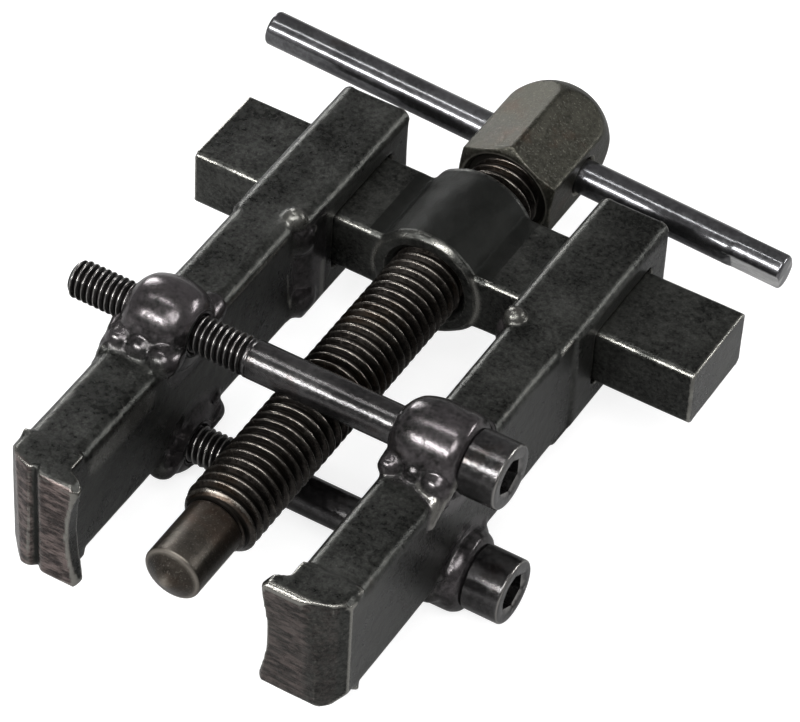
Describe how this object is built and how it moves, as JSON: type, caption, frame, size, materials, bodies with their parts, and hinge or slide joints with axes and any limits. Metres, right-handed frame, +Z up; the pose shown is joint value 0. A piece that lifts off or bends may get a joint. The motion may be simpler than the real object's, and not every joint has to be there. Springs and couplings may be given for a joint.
{
  "type": "gear puller",
  "caption": "Small bearing and gear puller: clawed legs that slide on a crossbar and are drawn together by clamp screws, with a forcing screw turned by a tommy bar.",
  "frame": {"origin": "on the forcing screw's axis, in the plane where the cone of the centre point begins", "axes": "+Y from the centre point along the forcing screw to the hexagonal cap, +X along the crossbar towards the heads of the clamp screws, +Z up"},
  "size_m": [0.0919, 0.1172, 0.0354],
  "materials": {
    "forged_steel": "black oxide over forged steel, satin, worn on the edges",
    "thread_steel": "black oxide thread, oily, bright on the crests",
    "screw_steel": "black oxide socket head screw, satin",
    "cap_steel": "phosphated steel, olive grey, stained and worn",
    "point_steel": "turned and heat-browned steel",
    "handle_steel": "polished dark gunmetal bar"
  },
  "bodies": {
    "crossbar": {"crossbar": "forged_steel"},
    "left_leg": {"left_leg": "forged_steel", "left_upper_boss": "forged_steel", "left_lower_boss": "forged_steel"},
    "right_leg": {"right_leg": "forged_steel", "right_upper_boss": "forged_steel", "right_lower_boss": "forged_steel"},
    "upper_clamp_screw": {"upper_clamp_screw": "screw_steel"},
    "lower_clamp_screw": {"lower_clamp_screw": "screw_steel"},
    "centre_point": {"centre_point": "point_steel"},
    "forcing_screw": {"forcing_screw": "thread_steel", "hex_cap": "cap_steel"},
    "tommy_bar": {"tommy_bar": "handle_steel"}
  },
  "joints": [
    {"name": "right_leg_slide", "type": "slide", "parent": "crossbar", "child": "right_leg", "axis": [1, 0, 0], "range_m": [-0.0045, 0.0045]},
    {"name": "left_leg_slide", "type": "slide", "parent": "crossbar", "child": "left_leg", "axis": [-1, 0, 0], "range_m": [-0.0046, 0.0046]},
    {"name": "upper_clamp_turn", "type": "hinge", "parent": "right_leg", "child": "upper_clamp_screw", "pos_m": [0, 0.0317, 0.0113], "axis": [-1, 0, 0], "range_deg": [-3242, 3242]},
    {"name": "lower_clamp_turn", "type": "hinge", "parent": "right_leg", "child": "lower_clamp_screw", "pos_m": [0, 0.0317, -0.0113], "axis": [-1, 0, 0], "range_deg": [-3242, 3242]},
    {"name": "screw_feed", "type": "slide", "parent": "crossbar", "child": "centre_point", "axis": [0, 1, 0], "range_m": [-0.0057, 0.0492]},
    {"name": "screw_turn", "type": "hinge", "parent": "centre_point", "child": "forcing_screw", "pos_m": [0, 0, 0], "axis": [0, 1, 0], "range_deg": [-1152, 10080]},
    {"name": "tommy_bar_slide", "type": "slide", "parent": "forcing_screw", "child": "tommy_bar", "axis": [0.9986, 0, -0.0523], "range_m": [-0.024, 0.034]}
  ],
  "couplings": [
    {"joint": "left_leg_slide", "follows": "right_leg_slide", "ratio": 1},
    {"joint": "upper_clamp_turn", "follows": "right_leg_slide", "rad_per_m": -12566},
    {"joint": "lower_clamp_turn", "follows": "right_leg_slide", "rad_per_m": -12566},
    {"joint": "screw_feed", "follows": "screw_turn", "m_per_rad": 0.00027852}
  ]
}
